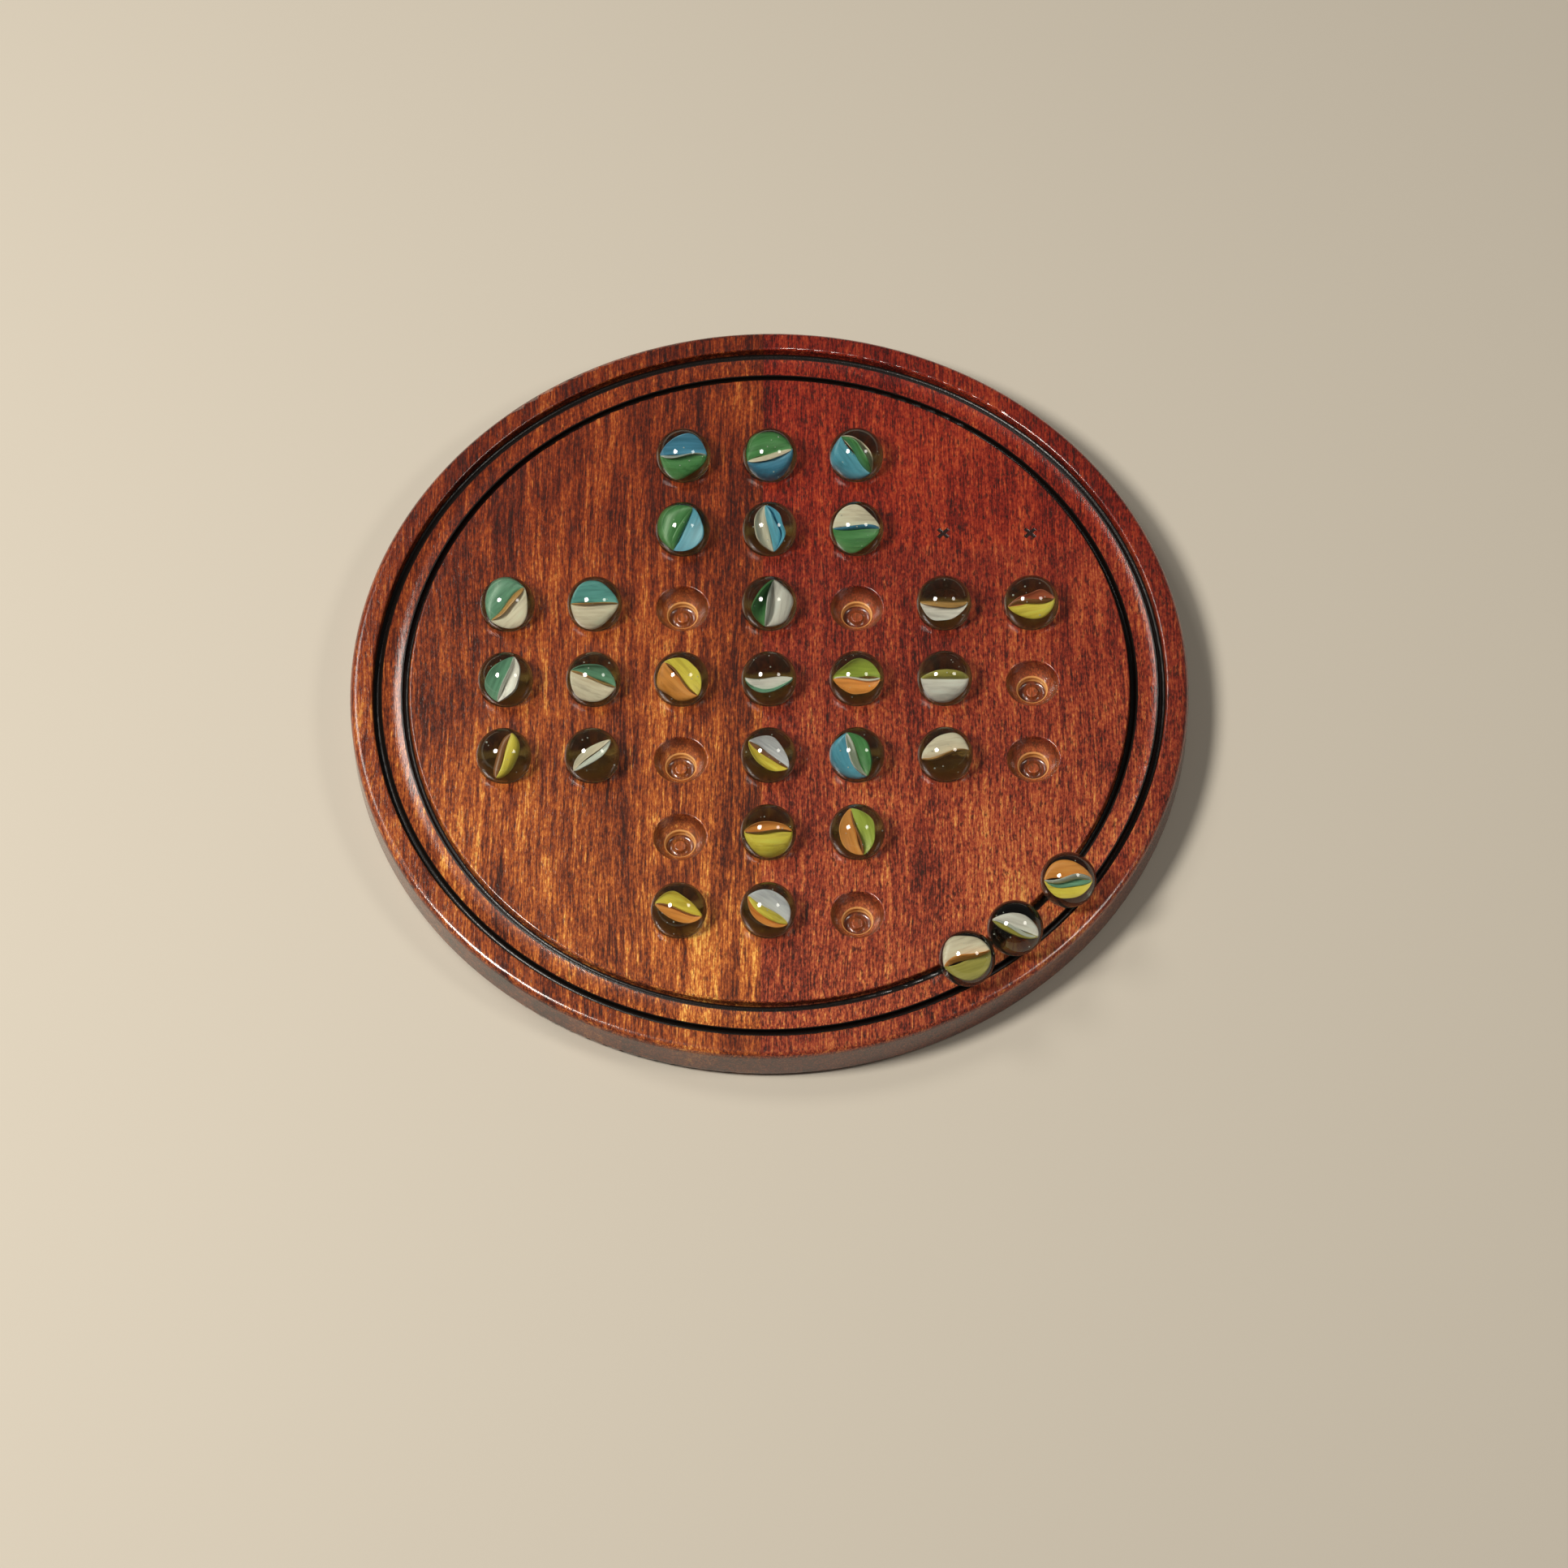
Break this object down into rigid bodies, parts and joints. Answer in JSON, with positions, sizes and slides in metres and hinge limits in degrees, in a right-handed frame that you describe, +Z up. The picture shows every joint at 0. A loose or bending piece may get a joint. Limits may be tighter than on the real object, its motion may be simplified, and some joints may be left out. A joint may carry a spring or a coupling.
{
  "type": "marble solitaire board",
  "caption": "Round turned wooden peg-solitaire board with cupped holes in a cross, a race round the rim for taken pieces, and cat's-eye glass marbles that lift out.",
  "frame": {"origin": "middle of the board's flat underside", "axes": "+Z up out of the playing face, +Y away from the player, +X to the player's right"},
  "size_m": [0.243, 0.243, 0.0269],
  "materials": {
    "wood_golden": "gloss varnish",
    "wood_red": "gloss varnish",
    "glass_blue": "clear glass with blue vanes",
    "glass_green": "clear glass with green vanes",
    "glass_amber": "clear glass with orange and yellow vanes",
    "glass_white": "clear glass with white vanes",
    "glass_clear": "clear glass with a few thin vanes"
  },
  "bodies": {
    "board": {"board_left_plank": "wood_golden", "board_right_plank": "wood_red"},
    "marble_row1_col3": {"marble_row1_col3": "glass_blue"},
    "marble_row1_col4": {"marble_row1_col4": "glass_green"},
    "marble_row1_col5": {"marble_row1_col5": "glass_blue"},
    "marble_row2_col3": {"marble_row2_col3": "glass_green"},
    "marble_row2_col4": {"marble_row2_col4": "glass_blue"},
    "marble_row2_col5": {"marble_row2_col5": "glass_white"},
    "marble_row3_col1": {"marble_row3_col1": "glass_green"},
    "marble_row3_col2": {"marble_row3_col2": "glass_green"},
    "marble_row3_col4": {"marble_row3_col4": "glass_green"},
    "marble_row3_col6": {"marble_row3_col6": "glass_clear"},
    "marble_row3_col7": {"marble_row3_col7": "glass_clear"},
    "marble_row4_col1": {"marble_row4_col1": "glass_green"},
    "marble_row4_col2": {"marble_row4_col2": "glass_green"},
    "marble_row4_col3": {"marble_row4_col3": "glass_amber"},
    "marble_row4_col4": {"marble_row4_col4": "glass_clear"},
    "marble_row4_col5": {"marble_row4_col5": "glass_amber"},
    "marble_row4_col6": {"marble_row4_col6": "glass_clear"},
    "marble_row5_col1": {"marble_row5_col1": "glass_clear"},
    "marble_row5_col2": {"marble_row5_col2": "glass_clear"},
    "marble_row5_col4": {"marble_row5_col4": "glass_white"},
    "marble_row5_col5": {"marble_row5_col5": "glass_green"},
    "marble_row5_col6": {"marble_row5_col6": "glass_clear"},
    "marble_row6_col4": {"marble_row6_col4": "glass_amber"},
    "marble_row6_col5": {"marble_row6_col5": "glass_amber"},
    "marble_row7_col3": {"marble_row7_col3": "glass_amber"},
    "marble_row7_col4": {"marble_row7_col4": "glass_white"},
    "race_marble_upper": {"race_marble_upper": "glass_amber"},
    "race_marble_middle": {"race_marble_middle": "glass_clear"},
    "race_marble_lower": {"race_marble_lower": "glass_amber"}
  },
  "joints": [
    {"name": "lift_row1_col3", "type": "slide", "parent": "board", "child": "marble_row1_col3", "axis": [0, 0, 1], "range_m": [0, 0.03]},
    {"name": "lift_row1_col4", "type": "slide", "parent": "board", "child": "marble_row1_col4", "axis": [0, 0, 1], "range_m": [0, 0.03]},
    {"name": "lift_row1_col5", "type": "slide", "parent": "board", "child": "marble_row1_col5", "axis": [0, 0, 1], "range_m": [0, 0.03]},
    {"name": "lift_row2_col3", "type": "slide", "parent": "board", "child": "marble_row2_col3", "axis": [0, 0, 1], "range_m": [0, 0.03]},
    {"name": "lift_row2_col4", "type": "slide", "parent": "board", "child": "marble_row2_col4", "axis": [0, 0, 1], "range_m": [0, 0.03]},
    {"name": "lift_row2_col5", "type": "slide", "parent": "board", "child": "marble_row2_col5", "axis": [0, 0, 1], "range_m": [0, 0.03]},
    {"name": "lift_row3_col1", "type": "slide", "parent": "board", "child": "marble_row3_col1", "axis": [0, 0, 1], "range_m": [0, 0.03]},
    {"name": "lift_row3_col2", "type": "slide", "parent": "board", "child": "marble_row3_col2", "axis": [0, 0, 1], "range_m": [0, 0.03]},
    {"name": "lift_row3_col4", "type": "slide", "parent": "board", "child": "marble_row3_col4", "axis": [0, 0, 1], "range_m": [0, 0.03]},
    {"name": "lift_row3_col6", "type": "slide", "parent": "board", "child": "marble_row3_col6", "axis": [0, 0, 1], "range_m": [0, 0.03]},
    {"name": "lift_row3_col7", "type": "slide", "parent": "board", "child": "marble_row3_col7", "axis": [0, 0, 1], "range_m": [0, 0.03]},
    {"name": "lift_row4_col1", "type": "slide", "parent": "board", "child": "marble_row4_col1", "axis": [0, 0, 1], "range_m": [0, 0.03]},
    {"name": "lift_row4_col2", "type": "slide", "parent": "board", "child": "marble_row4_col2", "axis": [0, 0, 1], "range_m": [0, 0.03]},
    {"name": "lift_row4_col3", "type": "slide", "parent": "board", "child": "marble_row4_col3", "axis": [0, 0, 1], "range_m": [0, 0.03]},
    {"name": "lift_row4_col4", "type": "slide", "parent": "board", "child": "marble_row4_col4", "axis": [0, 0, 1], "range_m": [0, 0.03]},
    {"name": "lift_row4_col5", "type": "slide", "parent": "board", "child": "marble_row4_col5", "axis": [0, 0, 1], "range_m": [0, 0.03]},
    {"name": "lift_row4_col6", "type": "slide", "parent": "board", "child": "marble_row4_col6", "axis": [0, 0, 1], "range_m": [0, 0.03]},
    {"name": "lift_row5_col1", "type": "slide", "parent": "board", "child": "marble_row5_col1", "axis": [0, 0, 1], "range_m": [0, 0.03]},
    {"name": "lift_row5_col2", "type": "slide", "parent": "board", "child": "marble_row5_col2", "axis": [0, 0, 1], "range_m": [0, 0.03]},
    {"name": "lift_row5_col4", "type": "slide", "parent": "board", "child": "marble_row5_col4", "axis": [0, 0, 1], "range_m": [0, 0.03]},
    {"name": "lift_row5_col5", "type": "slide", "parent": "board", "child": "marble_row5_col5", "axis": [0, 0, 1], "range_m": [0, 0.03]},
    {"name": "lift_row5_col6", "type": "slide", "parent": "board", "child": "marble_row5_col6", "axis": [0, 0, 1], "range_m": [0, 0.03]},
    {"name": "lift_row6_col4", "type": "slide", "parent": "board", "child": "marble_row6_col4", "axis": [0, 0, 1], "range_m": [0, 0.03]},
    {"name": "lift_row6_col5", "type": "slide", "parent": "board", "child": "marble_row6_col5", "axis": [0, 0, 1], "range_m": [0, 0.03]},
    {"name": "lift_row7_col3", "type": "slide", "parent": "board", "child": "marble_row7_col3", "axis": [0, 0, 1], "range_m": [0, 0.03]},
    {"name": "lift_row7_col4", "type": "slide", "parent": "board", "child": "marble_row7_col4", "axis": [0, 0, 1], "range_m": [0, 0.03]},
    {"name": "roll_race_upper", "type": "hinge", "parent": "board", "child": "race_marble_upper", "pos_m": [0, 0, 0], "axis": [0, 0, 1], "range_deg": [-2.9, 331]},
    {"name": "roll_race_middle", "type": "hinge", "parent": "board", "child": "race_marble_middle", "pos_m": [0, 0, 0], "axis": [0, 0, 1], "range_deg": [-0.3, 2.9]},
    {"name": "roll_race_lower", "type": "hinge", "parent": "board", "child": "race_marble_lower", "pos_m": [0, 0, 0], "axis": [0, 0, 1], "range_deg": [-331, 0.3]}
  ]
}
